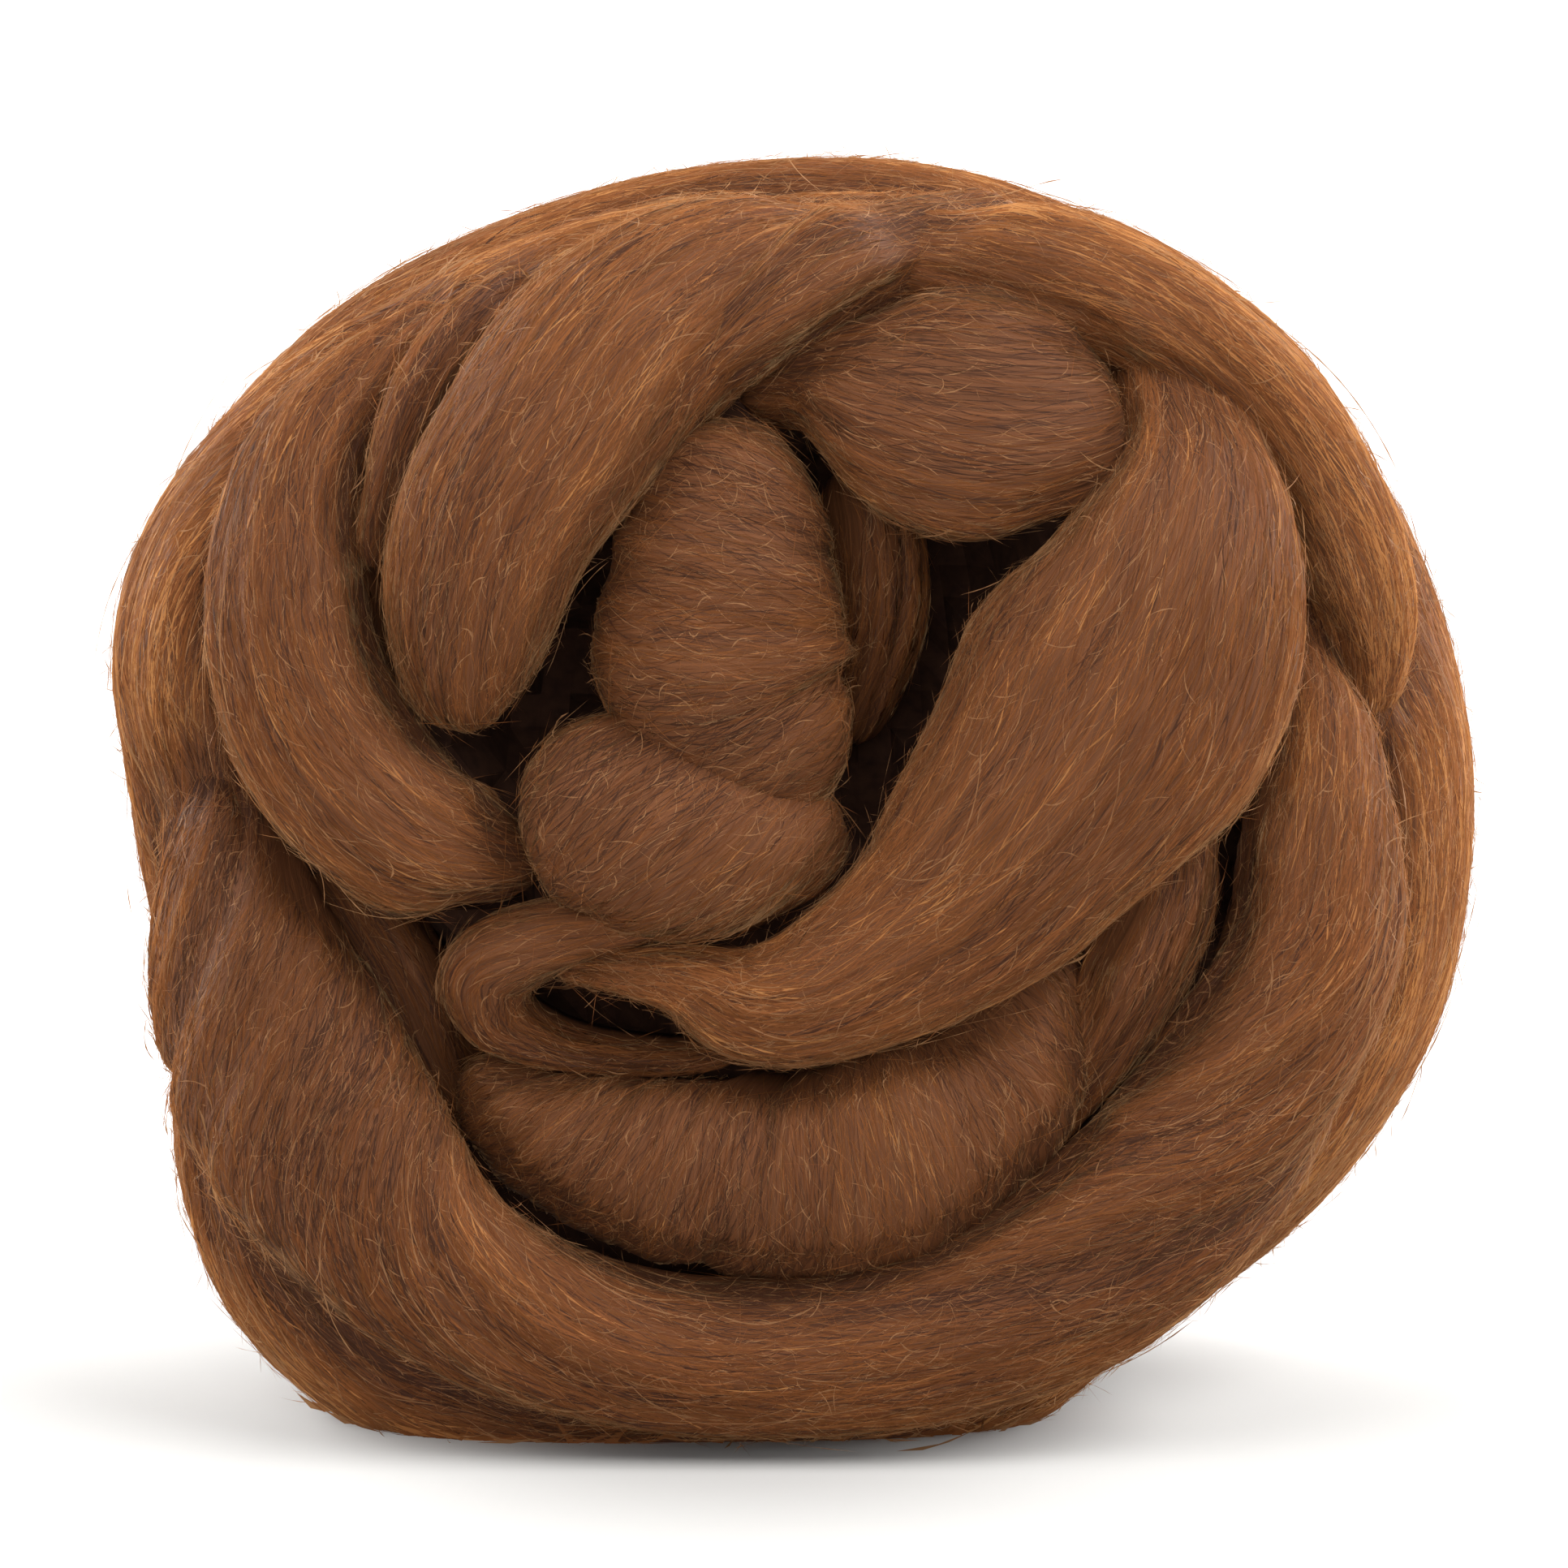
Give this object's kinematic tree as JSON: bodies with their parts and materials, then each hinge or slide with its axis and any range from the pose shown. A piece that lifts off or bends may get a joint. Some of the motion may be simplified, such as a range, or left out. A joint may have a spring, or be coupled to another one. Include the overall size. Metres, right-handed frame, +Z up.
{
  "type": "wool roving nest",
  "caption": "Brown combed wool roving wound into a round nest of thick overlapping laps, standing on its edge.",
  "frame": {"origin": "on the surface that the nest stands on, under the middle of its box", "axes": "+X to the right of the wound face as seen from the front, +Y away from the viewer through the nest, +Z up"},
  "size_m": [0.1584, 0.0971, 0.1466],
  "materials": {
    "wool": "matte, soft and hairy combed wool fibre"
  },
  "bodies": {
    "root": {"roving": "wool"}
  },
  "joints": []
}
